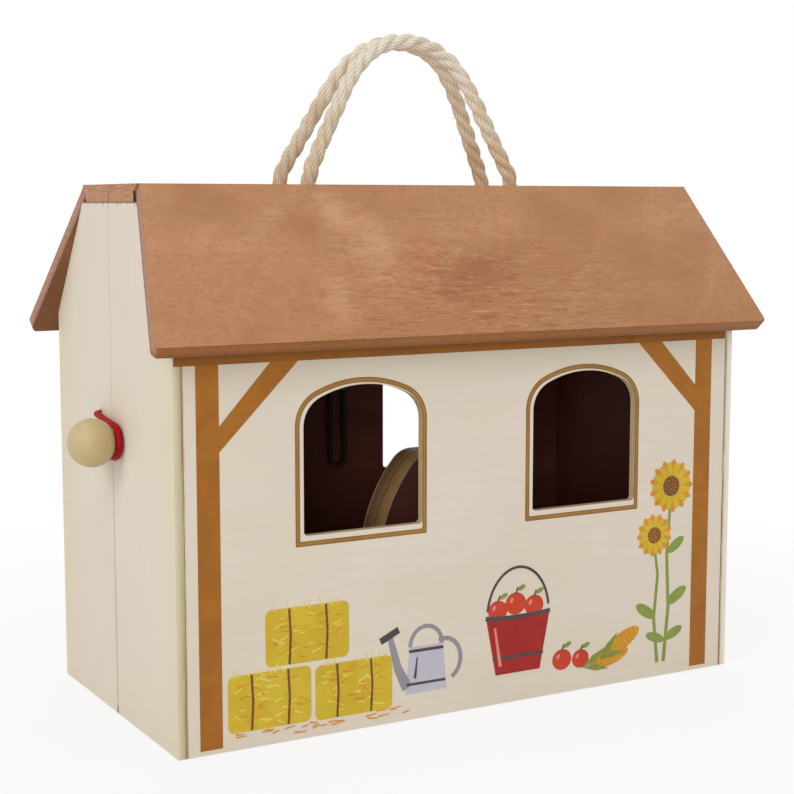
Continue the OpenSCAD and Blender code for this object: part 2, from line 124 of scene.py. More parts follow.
class Nodes:
    """Short calls for building a node tree."""

    def __init__(self, tree):
        self.tree = tree

    def put(self, value, socket):
        """Links another node's output, or sets a value; a colour of three numbers is in sRGB."""
        if hasattr(value, "links"):
            self.tree.links.new(value, socket)
        elif socket.type == "RGBA" and len(value) == 3:
            socket.default_value = srgb(*value)
        else:
            socket.default_value = value

    def add(self, kind, inputs=None, **settings):
        """A new node; inputs holds the values of its sockets, by name or number."""
        node = self.tree.nodes.new("ShaderNode" + kind)
        for key, value in settings.items():
            setattr(node, key, value)
        for key, value in (inputs or {}).items():
            self.put(value, node.inputs[key])
        return node

    def math(self, operation, a, b=0.0):
        return self.add("Math", {0: a, 1: b}, operation=operation).outputs[0]

    def times(self, *values):
        product = values[0]
        for value in values[1:]:
            product = self.math("MULTIPLY", product, value)
        return product

    def length(self, vector):
        return self.add("VectorMath", {0: vector}, operation="LENGTH").outputs["Value"]

    def seen_directly(self):
        """1 where the ray is a camera, glossy or transmission ray, else 0."""
        path = self.add("LightPath").outputs
        seen = self.math("MAXIMUM", path["Is Camera Ray"], path["Is Glossy Ray"])
        return self.math("MAXIMUM", seen, path["Is Transmission Ray"])


# Camera, floor and light

LENS = 73.98
SENSOR = 36
CAMERA_PLACE = (-0.39848, -0.70533, 0.23536)
CAMERA_TURN, CAMERA_TIP = 0.513, 0.118

LIT_POINT = Vector((0, 0, 0.12))
AMBIENT = 0.44
# Each lamp's name, place, size and power
LAMPS = [("key", (-1.8, -0.8, 1.5), 1.2, 17), ("low", (-1.1, -1.7, 0.5), 0.6, 7),
         ("side", (1.6, -0.9, 1.0), 1.4, 5), ("top", (0.2, 0.3, 2.2), 1.6, 12),
         ("back", (0.9, 1.7, 1.1), 1.2, 7)]

FLOOR_REACH = 4.0
FLOOR_DROP = 0.0004
# The floor takes shadow within the first distance, and is all white beyond the second
SHADE_NEAR, SHADE_FAR = 0.22, 0.50


def aim(thing, forward):
    thing.rotation_mode = "QUATERNION"
    thing.rotation_quaternion = forward.to_track_quat("-Z", "Y")


def make_camera():
    """The photograph's view: from the left end, a little above the eaves."""
    data = bpy.data.cameras.new("camera")
    data.lens = LENS
    data.sensor_width = SENSOR
    camera = add_object("camera", data)
    camera.location = CAMERA_PLACE
    level = cos(CAMERA_TIP)
    aim(camera, Vector((sin(CAMERA_TURN) * level, cos(CAMERA_TURN) * level,
                        -sin(CAMERA_TIP))))
    bpy.context.scene.camera = camera


def area_light(name, place, size, power):
    data = bpy.data.lights.new(name, "AREA")
    data.shape = "SQUARE"
    data.size = size
    data.energy = power
    light = add_object(name, data)
    light.location = place
    aim(light, LIT_POINT - Vector(place))


def make_world():
    world = bpy.data.worlds.new("studio")
    bpy.context.scene.world = world
    world.use_nodes = True
    world.node_tree.nodes.clear()
    sky = Nodes(world.node_tree)
    soft = sky.add("Background", {"Color": (0.98, 0.99, 1.0, 1), "Strength": AMBIENT})
    white = sky.add("Background", {"Color": (1, 1, 1, 1), "Strength": 1.0})
    mix = sky.add("MixShader", {0: sky.seen_directly(), 1: soft.outputs[0], 2: white.outputs[0]})
    sky.add("OutputWorld", {0: mix.outputs[0]})


def make_floor():
    """A white floor: plain white to the eye, but for a soft shadow close to the barn."""
    white = bpy.data.materials.new("floor_white")
    white.use_nodes = True
    white.node_tree.nodes.clear()
    graph = Nodes(white.node_tree)
    lit = graph.add("BsdfDiffuse", {"Color": (0.86, 0.86, 0.86, 1)})
    glow = graph.add("Emission", {"Strength": 1.0})
    away = graph.length(graph.add("TexCoord").outputs["Object"])
    fade = graph.add("MapRange", {"Value": away, "From Min": SHADE_NEAR, "From Max": SHADE_FAR,
                                  "To Min": 0.80, "To Max": 1.0})
    share = graph.times(graph.seen_directly(), fade.outputs["Result"])
    mix = graph.add("MixShader", {0: share, 1: lit.outputs[0], 2: glow.outputs[0]})
    graph.add("OutputMaterial", {0: mix.outputs[0]})
    corners = [(x * FLOOR_REACH, y * FLOOR_REACH, 0) for x, y in
               ((-1, -1), (1, -1), (1, 1), (-1, 1))]
    floor = add_mesh("floor", corners, [(0, 1, 2, 3)], white)
    floor.location.z = -FLOOR_DROP


# Materials

class Graph(Nodes):
    """One material, built round its Principled shader."""

    def __init__(self, name, roughness=0.6, gloss=0.5, sheen=0.0, metallic=0.0):
        self.material = bpy.data.materials.new(name)
        self.material.use_nodes = True
        super().__init__(self.material.node_tree)
        self.shader = self.tree.nodes["Principled BSDF"]
        for key, value in (("Roughness", roughness), ("Specular IOR Level", gloss),
                           ("Sheen Weight", sheen), ("Metallic", metallic)):
            self.shader.inputs[key].default_value = value
        coords = self.add("TexCoord").outputs
        self.place, self.facing = coords["Object"], coords["Normal"]
        self.x, self.y, self.z = self.split(self.place)
        self.facing_x, self.facing_y, _ = self.split(self.facing)

    def plus(self, a, b):
        return self.math("ADD", a, b)

    def minus(self, a, b):
        return self.math("SUBTRACT", a, b)

    def absolute(self, a):
        return self.math("ABSOLUTE", a)

    def dot(self, vector, direction):
        node = self.add("VectorMath", {0: vector, 1: direction}, operation="DOT_PRODUCT")
        return node.outputs["Value"]

    def split(self, vector):
        return self.add("SeparateXYZ", {0: vector}).outputs

    def from_point(self, point):
        return self.add("VectorMath", {0: self.place, 1: point}, operation="SUBTRACT").outputs[0]

    def stretch(self, vector, scale):
        return self.add("VectorMath", {0: vector, 1: scale}, operation="MULTIPLY").outputs[0]

    def noise(self, place, detail=4.0, rough=0.55, warp=0.0):
        """Noise at a place, or over the object in cycles a metre, the same or one for each axis."""
        if isinstance(place, int):
            place = (place, place, place)
        if isinstance(place, tuple):
            place = self.stretch(self.place, place)
        return self.add("TexNoise", {"Vector": place, "Scale": 1.0, "Detail": detail,
                                     "Roughness": rough, "Distortion": warp}).outputs["Fac"]

    def band(self, value, low, high):
        """0 below low, 1 above high, and a straight rise between; low may be the larger."""
        node = self.add("MapRange", {"Value": value, "From Min": low, "From Max": high}, clamp=True)
        return node.outputs["Result"]

    def mix(self, share, a, b):
        return self.add("Mix", {0: share, 6: a, 7: b}, data_type="RGBA").outputs[2]

    def stain(self, second, *shares):
        """Lays a second colour over the first, as much as all the shares multiplied."""
        self.colour = self.mix(self.times(*shares), self.colour, second)

    def bump(self, height, depth, strength):
        return self.add("Bump", {"Strength": strength, "Distance": depth,
                                 "Height": height}).outputs["Normal"]

    def finish(self, normal, roughness=None):
        self.put(self.colour, self.shader.inputs["Base Color"])
        self.put(normal, self.shader.inputs["Normal"])
        if roughness is not None:
            self.put(roughness, self.shader.inputs["Roughness"])
        return self.material


@dataclass
class Board:
    """How one stained or painted face of plywood looks; the shares run from 0 to 1."""
    light: tuple
    dark: tuple
    tint: tuple
    pore: tuple
    tint_share: float = 0.5
    streak: float = 0.4
    pore_share: float = 0.3
    speckle: float = 0.0
    dash: float = 0.0
    figure: tuple = None


CREAM = Board((230, 218, 201), (225, 212, 194), (226, 215, 190),
              (196, 178, 150), streak=0.45, pore_share=0.12, speckle=0.12)
ROOF = Board((194, 141, 98), (168, 116, 76), (182, 117, 78), (122, 72, 42),
             streak=0.3, speckle=0.55, dash=0.25, figure=(202, 154, 110))
EAVES = Board((144, 93, 54), (114, 71, 40), (150, 86, 46), (76, 46, 28),
              streak=0.5, pore_share=0.4, speckle=0.3)
INNER = Board((124, 68, 52), (98, 50, 40), (112, 54, 45), (56, 28, 22),
              streak=0.5, pore_share=0.4, speckle=0.3)
BARE = Board((226, 204, 164), (210, 186, 144), (214, 190, 140),
             (160, 122, 80), tint_share=0.4, streak=0.5)
BALL = Board((212, 194, 152), (188, 166, 118), (184, 162, 104),
             (150, 122, 76), pore_share=0.2)


def face_colour(graph, board, grain):
    """Colours a ply face with blotches, patches, streaks and pores, and returns its height."""
    def spread(fine, long, detail=3.0, warp=0.0):
        """Noise whose streaks run along the grain axis."""
        scale = tuple(long if axis == grain else fine for axis in range(3))
        return graph.noise(scale, detail, 0.57, warp)

    streaks = spread(480, 18, 5, 0.3)
    streak = graph.band(streaks, 0.42, 0.70)
    pore = graph.times(graph.band(spread(1900, 120, 2), 0.58, 0.68), streak)
    blotch = graph.band(spread(24, 12, warp=0.6), 0.32, 0.68)
    graph.colour = graph.mix(blotch, board.light, board.dark)
    patch = graph.band(spread(30, 18, 4, 1.2), 0.52, 0.70)
    graph.stain(board.tint, patch, board.tint_share)
    if board.figure:
        slant = graph.add("CombineXYZ", {0: graph.dot(graph.place, (7, 0, 8)),
                                         1: graph.dot(graph.place, (-20, 0, 22))})
        waves = graph.band(graph.noise(slant.outputs[0], 4, 0.6, 1.4), 0.48, 0.66)
        graph.stain(board.figure, waves, 0.45)
    graph.stain(board.dark, streak, board.streak)
    if board.speckle:
        speckle = graph.band(spread(420, 300, 6, 0.8), 0.44, 0.60)
        graph.stain(board.dark, speckle, board.speckle)
    graph.stain(board.pore, pore, board.pore_share)
    if board.dash:
        dashes = graph.band(spread(1300, 190, 1), 0.62, 0.69)
        places = graph.band(spread(20, 12), 0.44, 0.58)
        graph.stain(board.pore, dashes, places, board.dash)
    return graph.minus(streaks, graph.times(pore, 0.8))


@dataclass
class Edge:
    """How a board's cut edges look: two tones, the layers' share, and the ends' own tones."""
    light: tuple
    dark: tuple
    plies: int = 5
    stripes: float = 1.0
    end_light: tuple = None
    end_dark: tuple = None
    arris: tuple = None


REVEAL = Edge((208, 184, 144), (166, 138, 96))
PLY = Edge((226, 214, 188), (184, 164, 124))
ROOF_EDGE = Edge((160, 101, 48), (126, 75, 32), stripes=0.35, end_light=(180, 132, 108),
                 end_dark=(160, 110, 86), arris=(116, 72, 42))
CAP_EDGE = Edge((176, 122, 80), (152, 102, 64), plies=3, stripes=0.2,
                end_light=(194, 138, 96), end_dark=(158, 98, 62))
RIDGE_EDGE = Edge((190, 140, 108), (170, 120, 88), plies=3, stripes=0.2,
                  end_light=(192, 144, 110), end_dark=(172, 120, 84))
STALL_EDGE = Edge((255, 204, 132), (240, 172, 98), plies=7, stripes=0.3)


def edge_colour(graph, outward, face_at, thickness, edge):
    """Plywood layers across an edge; depth counts from the outer face."""
    wobble = graph.noise(300, detail=2)
    speckle = graph.noise(1100, detail=3)
    depth = graph.minus(face_at, graph.dot(graph.place, outward))
    layer = graph.times(graph.math("DIVIDE", depth, thickness), edge.plies / 2)
    wave = graph.math("FRACT", graph.plus(layer, graph.times(wobble, 0.10)))
    stripe = graph.band(graph.absolute(graph.minus(wave, 0.72)), 0.20, 0.12)
    striped = graph.times(stripe, graph.band(speckle, 0.25, 0.65), edge.stripes)
    cloudy = graph.times(graph.band(wobble, 0.4, 0.7), 1 - edge.stripes, 0.7)
    graph.colour = graph.mix(graph.math("MAXIMUM", striped, cloudy), edge.light, edge.dark)
    if edge.end_light:
        across = graph.noise((60, 110, 1500), rough=0.6)
        ends = graph.mix(graph.band(across, 0.38, 0.62), edge.end_light, edge.end_dark)
        graph.stain(ends, graph.band(graph.absolute(graph.facing_x), 0.6, 0.85))
    if edge.arris:
        # Painted shade on the lower half of the edge, under the arris.
        under = graph.band(depth, thickness * 0.5, thickness)
        graph.stain((104, 60, 26), under, 0.55)
        worn = graph.band(depth, 0.0011, 0.0002)
        graph.stain(edge.arris, worn, graph.band(speckle, 0.36, 0.56), 0.7)


def board_material(name, outward, face_at, thickness, grain, outside, inside, edge,
                   roughness=0.62, marks=None):
    """A board with a finished outer face, a stained inner face and layered edges."""
    graph = Graph(name, roughness=roughness, gloss=0.35)
    outer_height = face_colour(graph, outside, grain)
    outer = graph.colour
    inner_height = face_colour(graph, inside, grain)
    inner = graph.colour
    edge_colour(graph, outward, face_at, thickness, edge)
    facing = graph.dot(graph.facing, outward)
    is_outer = graph.band(facing, 0.60, 0.80)
    is_inner = graph.band(facing, -0.60, -0.80)
    graph.stain(outer, is_outer)
    graph.stain(inner, is_inner)
    height = graph.plus(graph.times(is_outer, outer_height), graph.times(is_inner, inner_height))
    if marks:
        marks(graph, is_outer)
    return graph.finish(graph.bump(height, 0.00025, 0.35))


def gable_marks(sign, painted_light, painted_dark):
    """Marks of a gable: roof stain and painted shade under the ridge, a seam that darkens low down
    and most at its foot, and its painted front edge.
    """
    def marks(graph, is_outer):
        z = graph.z
        out = graph.times(graph.y, sign)
        run = graph.noise((400, 420, 60), detail=3)
        start = graph.plus(graph.times(run, 0.009), RIDGE_UNDER - 0.0052)
        smear = graph.band(graph.minus(z, start), 0.0, 0.0009)
        graph.stain((182, 138, 98), smear, is_outer, 0.8)
        # Painted shade in a thin band just under the ridge board.
        under = graph.band(z, RIDGE_UNDER - 0.0007, RIDGE_UNDER - 0.0003)
        graph.stain((96, 64, 44), under, 0.75)
        seam = graph.band(out, 0.0012, 0.0004)
        low = graph.band(z, 0.150, 0.060)
        graph.stain((160, 136, 104), seam, low, is_outer, 0.5)
        spots = graph.band(graph.noise((0, 300, 90), detail=2), 0.66, 0.70)
        graph.stain((92, 74, 58), spots, seam, is_outer, 0.8)
        foot = graph.times(graph.band(z, 0.0045, 0.0015), graph.band(out, 0.0016, 0.0006))
        graph.stain((70, 58, 46), foot, is_outer, 0.85)
        rear_edge = graph.band(out, 0.050, 0.068)
        graph.stain((224, 212, 176), rear_edge, is_outer, 0.5)
        strip = graph.band(graph.times(graph.facing_y, sign), 0.6, 0.85)
        depth = graph.minus(GABLE_FACE, graph.absolute(graph.x))
        vary = graph.noise((700, 700, 45))
        soft = graph.plus(depth, graph.times(vary, 0.0012))
        painted = graph.mix(graph.band(soft, 0.0012, 0.0038), painted_light, painted_dark)
        joint = graph.band(soft, GABLE_T - 0.0004, GABLE_T + 0.0001)
        joint = graph.times(joint, graph.band(vary, 0.35, 0.60))
        graph.stain(graph.mix(joint, painted, (164, 136, 98)), strip)
    return marks


def near_point(graph, point, reach):
    """1 at a point on the object, falling raggedly to 0 at about each axis's reach from it."""
    away = graph.length(graph.stretch(graph.from_point(point), tuple(1 / r for r in reach)))
    ragged = graph.times(graph.noise((90, 90, 210), detail=5, warp=0.8), 2.4)
    return graph.band(graph.plus(away, graph.minus(ragged, 1.2)), 1.0, 0.25)


# Places in the roof's stain: x and z, the reach along both, the share and the colour
ROOF_PLACES = [(-0.060, 0.230, 0.012, 0.016, 0.5, (214, 164, 126)),
               (-0.046, 0.217, 0.014, 0.016, 0.5, (214, 164, 126)),
               (-0.072, 0.193, 0.011, 0.017, 0.5, (214, 164, 126)),
               (-0.021, 0.211, 0.010, 0.009, 0.6, (184, 96, 66)),
               (0.002, 0.203, 0.032, 0.014, 0.6, (140, 80, 46)),
               (-0.078, 0.226, 0.014, 0.010, 0.35, (150, 92, 54))]


def roof_marks(graph, is_outer):
    """Pale and reddish places in the stain, and a sharper wavy figure in the middle and low."""
    for x, z, reach_x, reach_z, share, stain in ROOF_PLACES:
        place = near_point(graph, (x, 0, z), (reach_x, 1.0, reach_z))
        graph.stain(stain, place, is_outer, share)
    x, z = graph.x, graph.z
    worn = graph.band(z, 0.222, 0.184)
    graph.stain((160, 100, 54), worn, is_outer, 0.28)
    waves = graph.noise((60, 420, 560), detail=6, rough=0.7, warp=1.8)
    low = graph.times(graph.band(z, 0.236, 0.195), graph.band(x, -0.100, -0.040),
                      graph.band(x, 0.130, 0.030), is_outer)
    graph.stain((140, 86, 52), graph.band(waves, 0.52, 0.60), low, 0.7)
    graph.stain((214, 168, 124), graph.band(waves, 0.44, 0.36), low, 0.45)


def wall_marks(graph, is_outer):
    """A faint brown line where a wall's ends join the gables, and shade under the eave."""
    from_end = graph.minus(wall_hi.x, graph.absolute(graph.x))
    vary = graph.band(graph.noise((200, 200, 60)), 0.3, 0.6)
    line = graph.band(from_end, 0.0009, 0.0002)
    graph.stain((176, 152, 112), line, vary, is_outer, 0.6)
    shade = graph.band(graph.z, 0.150, 0.166)
    graph.stain((202, 186, 160), shade, is_outer, 0.45)


def ridge_gap_shade(graph, _):
    """The long sides of a ridge board, in the gap beside the roof panel, get painted shade."""
    side = graph.band(graph.absolute(graph.facing_y), 0.5, 0.8)
    # Painted shade on the ridge board's sides, in the gap.
    graph.stain((66, 40, 26), side, 0.9)


def stall_edge_shade_and_highlight(graph, _):
    """A stall front's edge gets painted shade towards the back, and a painted highlight along its
    own arris.
    """
    out = graph.absolute(graph.y)
    edge = graph.band(graph.absolute(graph.facing_y), 0.8, 0.5)
    speckle = graph.band(graph.noise(260, detail=3), 0.2, 0.5)
    # Painted shade on the edge, towards the back.
    rear_shade = graph.band(graph.y, -0.007, 0.006)
    graph.stain((132, 84, 48), rear_shade, edge, 0.75)
    # Painted highlight along the front arris, in speckles.
    worn = graph.band(out, STALL_FACE - 0.0012, STALL_FACE - 0.0003)
    graph.stain((255, 236, 196), worn, edge, speckle)


def use(material, *names):
    """Gives CAD nodes their material."""
    for name in names:
        for slot in nodes[name].material_slots:
            slot.material = material


def soften(name, width, segments=2):
    """Rounds a CAD node's sharp edges a little, as sanding does."""
    bevel = nodes[name].modifiers.new("sanded_edges", "BEVEL")
    bevel.width = width
    bevel.segments = segments
    bevel.limit_method = "ANGLE"
    bevel.angle_limit = radians(50)
    bevel.use_clamp_overlap = True


def roof_outward(half):
    """The outward normal of a roof panel and its outer face's distance from the origin."""
    mesh = nodes[f"{half}_roof_panel"].data
    face = max(mesh.polygons, key=lambda p: p.area * (p.normal.z > 0.2))
    normal = face.normal.copy()
    return tuple(normal), normal.dot(mesh.vertices[face.vertices[0]].co)


def finish_boards():
    def finish(name, *looks, soft=None, **more):
        use(board_material(name + "_ply", *looks, **more), name)
        if soft:
            soften(name, *soft)

    for half, sign in HALVES.items():
        finish(f"{half}_wall", (0, sign, 0), WALL_FACE, WALL_T, 0, CREAM, INNER, REVEAL,
               marks=wall_marks, soft=(0.00015, 1))
        for side, way, strip in (("left", -1, ((216, 206, 174), (192, 175, 132))),
                                 ("right", 1, ((238, 230, 216), (226, 214, 192)))):
            finish(f"{half}_{side}_gable", (way, 0, 0), GABLE_FACE, GABLE_T, 2, CREAM, INNER,
                   PLY, marks=gable_marks(sign, *strip), soft=(0.00015, 1))
        finish(f"{half}_roof_panel", *roof_outward(half), ROOF_T, 0, ROOF, EAVES, ROOF_EDGE,
               roughness=0.5, marks=roof_marks, soft=(0.0010, 3))
        finish(f"{half}_ridge_cap", (0, 0, 1), RIDGE_TOP, cap_hi.z - cap_lo.z, 0, ROOF, ROOF,
               CAP_EDGE, roughness=0.5, soft=(0.0003,))
        finish(f"{half}_ridge_board", (0, 0, 1), board_hi.z, board_hi.z - board_lo.z, 0, ROOF,
               INNER, RIDGE_EDGE, marks=ridge_gap_shade, soft=(0.0003,))
        finish(f"{half}_floor", (0, 0, -1), 0, FLOOR_T, 0, BARE, INNER, PLY)
        finish(f"{half}_stall_front", (0, sign, 0), STALL_FACE, STALL_T, 0, INNER, INNER,
               STALL_EDGE, marks=stall_edge_shade_and_highlight, soft=(0.0002,))
        low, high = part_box(f"{half}_stall_divider")
        finish(f"{half}_stall_divider", (1, 0, 0), high.x, high.x - low.x, 1, INNER, INNER,
               STALL_EDGE, soft=(0.0004,))


def turned_wood(name, board, centre):
    """Turned wood: growth rings across X and fine streaks, for knobs, pegs and dowels."""
    graph = Graph(name, roughness=0.45, gloss=0.4)
    height = face_colour(graph, board, 0)
    rings = graph.add("TexWave", {"Vector": graph.from_point(centre), "Scale": 130.0,
                                  "Distortion": 2.2, "Detail Scale": 3.0},
                      wave_type="RINGS", rings_direction="X")
    graph.stain(board.dark, rings.outputs["Fac"], 0.35)
    return graph.finish(graph.bump(height, 0.0002, 0.25))


def metal(name, colour, roughness):
    """Pressed and plated metal with fine scratches and a mottled sheen."""
    graph = Graph(name, roughness=roughness, metallic=1.0)
    mottle = graph.noise(240, detail=5)
    scratch = graph.noise((5200, 5200, 260), detail=2)
    dull = tuple(c * 0.86 for c in srgb(*colour)[:3]) + (1,)
    rough = graph.plus(graph.times(graph.band(mottle, 0.2, 0.8), 0.16), roughness - 0.08)
    graph.colour = graph.mix(graph.band(mottle, 0.35, 0.7), colour, dull)
    return graph.finish(graph.bump(scratch, 0.00004, 0.3), rough)


def strap_material():
    """Dark webbing with a fine ribbed weave."""
    graph = Graph("strap_webbing", roughness=0.8)
    weave = graph.add("TexWave", {"Vector": graph.place, "Scale": 900.0},
                      bands_direction="DIAGONAL")
    fuzz = graph.band(graph.noise(900), 0.3, 0.7)
    graph.colour = graph.mix(fuzz, (38, 32, 30), (62, 50, 46))
    return graph.finish(graph.bump(weave.outputs["Fac"], 0.0002, 0.6))


def rope_material(name, light, mid, dark):
    """Twisted natural fibre. The mesh gives the place along a strand in mm and round it as UV."""
    graph = Graph(name, roughness=0.9, gloss=0.2, sheen=0.2)
    uv = graph.add("UVMap", uv_map="lay").outputs[0]
    along, turns, _ = graph.split(uv)
    turns = graph.minus(turns, graph.math("DIVIDE", along, YARN_PITCH / MM))
    angle = graph.times(turns, 2 * pi)

    def lay(long, fine):
        return graph.add("CombineXYZ", {
            0: graph.times(along, long), 1: graph.times(graph.math("COSINE", angle), fine),
            2: graph.times(graph.math("SINE", angle), fine)}).outputs[0]

    fibre = graph.noise(lay(0.30, 9.0), detail=6, rough=0.75, warp=0.5)
    shade = graph.noise(lay(0.05, 1.0), detail=3)
    crease = graph.add("Attribute", attribute_name="crease").outputs["Fac"]
    worn = graph.band(graph.noise(90, detail=3), 0.48, 0.66)
    graph.colour = graph.mix(graph.band(fibre, 0.42, 0.62), light, mid)
    graph.stain(dark, graph.band(fibre, 0.58, 0.70), 0.4)
    graph.stain(mid, graph.band(shade, 0.45, 0.75), 0.4)
    low = graph.band(graph.z, RIDGE_TOP + 0.060, RIDGE_TOP)
    graph.stain((202, 160, 98), graph.plus(graph.times(worn, 0.3), graph.times(low, 0.5)))
    # Painted shade in the creases between the yarns.
    graph.stain(dark, graph.band(crease, 0.3, 1.0), 0.5)
    return graph.finish(graph.bump(fibre, 0.0006, 0.7))


def elastic_material():
    """Red braided cover over rubber."""
    graph = Graph("elastic_braid", roughness=0.5, gloss=0.12)
    uv = graph.add("UVMap", uv_map="lay").outputs[0]
    braid = graph.add("TexChecker", {"Vector": graph.stretch(uv, (1500, 12, 1)), "Scale": 1.0})
    fuzz = graph.band(graph.noise(500, detail=3), 0.3, 0.75)
    graph.colour = graph.mix(fuzz, (192, 4, 8), (142, 2, 6))
    graph.stain((104, 2, 6), braid.outputs["Fac"], 0.3)
    return graph.finish(graph.bump(braid.outputs["Fac"], 0.00015, 0.5))


def print_material(name, colour, second):
    """Ink printed on ply: the grain shows through, and the ink takes unevenly."""
    graph = Graph(name, roughness=0.6, gloss=0.3)
    streak = graph.noise((30, 520, 520), detail=5, rough=0.6)
    cloud = graph.band(graph.noise(60, warp=0.8), 0.4, 0.65)
    speckle = graph.band(graph.noise(420, detail=3), 0.5, 0.7)
    graph.colour = graph.mix(graph.times(cloud, 0.6), colour, second)
    graph.stain(second, graph.band(streak, 0.45, 0.7), 0.25)
    graph.stain(second, speckle, 0.3)
    return graph.finish(graph.bump(streak, 0.0002, 0.25))


# Ropes and the elastic

def smooth_line(points, step):
    """Points about step apart on a Catmull-Rom curve through the given ones."""
    points = [Vector(p) for p in points]
    ends = [2 * points[0] - points[1]] + points + [2 * points[-1] - points[-2]]
    line = []
    for a, b, c, d in zip(ends, ends[1:], ends[2:], ends[3:]):
        count = max(1, round((c - b).length / step))
        for i in range(count):
            t = i / count
            line.append(0.5 * (2 * b + (c - a) * t + (2 * a - 5 * b + 4 * c - d) * t ** 2
                               + (3 * b - a - 3 * c + d) * t ** 3))
    line.append(points[-1])
    return line


def arc(cx, cz, rx, rz, start, end, count):
    """Points on an ellipse from start to end degrees."""
    return [(cx + rx * cos(radians(a)), cz + rz * sin(radians(a)))
            for a in (start + (end - start) * i / count for i in range(count + 1))]


def frames_along(line):
    """Tangent and two cross directions at each point, carried along without twist."""
    tangents = [(line[min(i + 1, len(line) - 1)] - line[max(i - 1, 0)]).normalized()
                for i in range(len(line))]
    side = tangents[0].orthogonal().normalized()
    frames = []
    for tangent in tangents:
        side = (side - tangent * side.dot(tangent)).normalized()
        frames.append((tangent, side, tangent.cross(side)))
    return frames


def lengths_along(line):
    out = [0.0]
    for a, b in zip(line, line[1:]):
        out.append(out[-1] + (b - a).length)
    return out


def outward(frame, angle):
    """The direction that leaves a line at an angle round it."""
    _, side, up = frame
    return side * cos(angle) + up * sin(angle)


class MeshMaker:
    """Collects tubes into one mesh with a UV map and a crease value for each vertex."""

    def __init__(self):
        self.points, self.faces, self.uvs, self.crease = [], [], [], []

    def tube(self, line, radius, sides, crease=None, u_scale=1.0):
        """radius and crease are functions of the length along and the angle round."""
        base = len(self.points)
        lengths = lengths_along(line)
        for point, frame, length in zip(line, frames_along(line), lengths):
            for k in range(sides):
                angle = 2 * pi * k / sides
                self.points.append(point + outward(frame, angle) * radius(length, angle))
                self.crease.append(crease(length, angle) if crease else 0.0)
        for i in range(len(line) - 1):
            near, far = base + i * sides, base + (i + 1) * sides
            u0, u1 = lengths[i] * u_scale, lengths[i + 1] * u_scale
            for k in range(sides):
                m = (k + 1) % sides
                self.faces.append((near + k, near + m, far + m, far + k))
                v0, v1 = k / sides, (k + 1) / sides
                self.uvs += [(u0, v0), (u0, v1), (u1, v1), (u1, v0)]
        last = base + (len(line) - 1) * sides
        self.faces.append(tuple(base + k for k in reversed(range(sides))))
        self.faces.append(tuple(last + k for k in range(sides)))
        self.uvs += [(0, 0)] * (2 * sides)

    def piece(self, name, material):
        made = add_mesh(name, self.points, self.faces, material)
        mesh = made.data
        mesh.uv_layers.new(name="lay")
        for item, uv in zip(mesh.uv_layers["lay"].data, self.uvs):
            item.uv = uv
        attribute = mesh.attributes.new("crease", "FLOAT", "POINT")
        for item, value in zip(attribute.data, self.crease):
            item.value = value
        for polygon in mesh.polygons:
            polygon.use_smooth = True
        return made


ROPE_D = 7.5 * MM
ROPE_PITCH = 27 * MM
STRANDS = 3
HELIX = ROPE_D * 0.245
STRAND = ROPE_D * 0.262
STRAND_SIDES = 36
YARNS = 8
# The yarns twist against the strands, so that outside they run along the rope
YARN_PITCH = ROPE_PITCH * STRAND / HELIX
FUZZ_HAIRS = 170
FUZZ_R = 0.045 * MM


def lay_rope(maker, line, start_turn=0.0):
    """Three twisted strands round a line, each with the ridges of its yarns."""
    for k in range(STRANDS):
        path = []
        for point, frame, length in zip(line, frames_along(line), lengths_along(line)):
            angle = -2 * pi * length / ROPE_PITCH + 2 * pi * k / STRANDS + start_turn
            loose = 1 + 0.05 * sin(length * 310 + k * 2.1) + 0.03 * sin(length * 870 + k)
            path.append(point + outward(frame, angle) * HELIX * loose)

        def ridge(length, angle, k=k):
            return cos(YARNS * (angle - 2 * pi * length / YARN_PITCH) + k)

        def radius(length, angle, k=k, ridge=ridge):
            fat = 1 + 0.05 * sin(length * 240 + 1.7 * k)
            return STRAND * fat * (1 + 0.038 * ridge(length, angle))

        def crease(length, angle, ridge=ridge):
            return 0.5 - 0.5 * ridge(length, angle)

        maker.tube(path, radius, STRAND_SIDES, crease, 1 / MM)


def add_fuzz(maker, line):
    """Loose fibre ends that stand off the rope."""
    frames = frames_along(line)
    for _ in range(FUZZ_HAIRS):
        i = rng.randrange(2, len(line) - 3)
        out = outward(frames[i], rng.uniform(0, 2 * pi))
        lean = (frames[i][0] * rng.uniform(-1, 1) + out * rng.uniform(0.25, 0.8)).normalized()
        root = line[i] + out * ROPE_D * 0.44
        long = rng.uniform(1.0, 2.8) * MM
        droop = Vector((0, 0, -rng.uniform(0, 0.3) * long))
        hair = [root, root + lean * long * 0.5 + droop * 0.3, root + lean * long + droop]
        maker.tube(hair, lambda s, a: FUZZ_R, 4, lambda s, a: 0.1, 1 / MM)


# The route of a rope handle over the ridge, in millimetres: along the barn, and height
ROPE_ROUTE = [
    (-56, 4), (-52, 13), (-47, 22), (-42, 31), (-37, 40), (-32, 48.5), (-26, 56.5), (-18, 63.5),
    (-9, 68), (1, 69.5), (10, 68.5), (19, 65), (27, 59), (33, 51.5), (38, 42.5), (42.5, 33),
    (47, 23.5), (51.5, 14), (56, 4),
]
# How much wider the left leg stands, and where round the rope its strands start
SPREAD = {"front": 1.0, "rear": 1.04}
START_TURN = {"front": 0.6, "rear": 2.0}
ROPE_Y = 13.4 * MM
ROPE_TOP_Y = 4.2 * MM
ROPE_SUNK = 2.5 * MM


def rope_x(half, x):
    return (x * SPREAD[half] if x < 0 else x) * MM


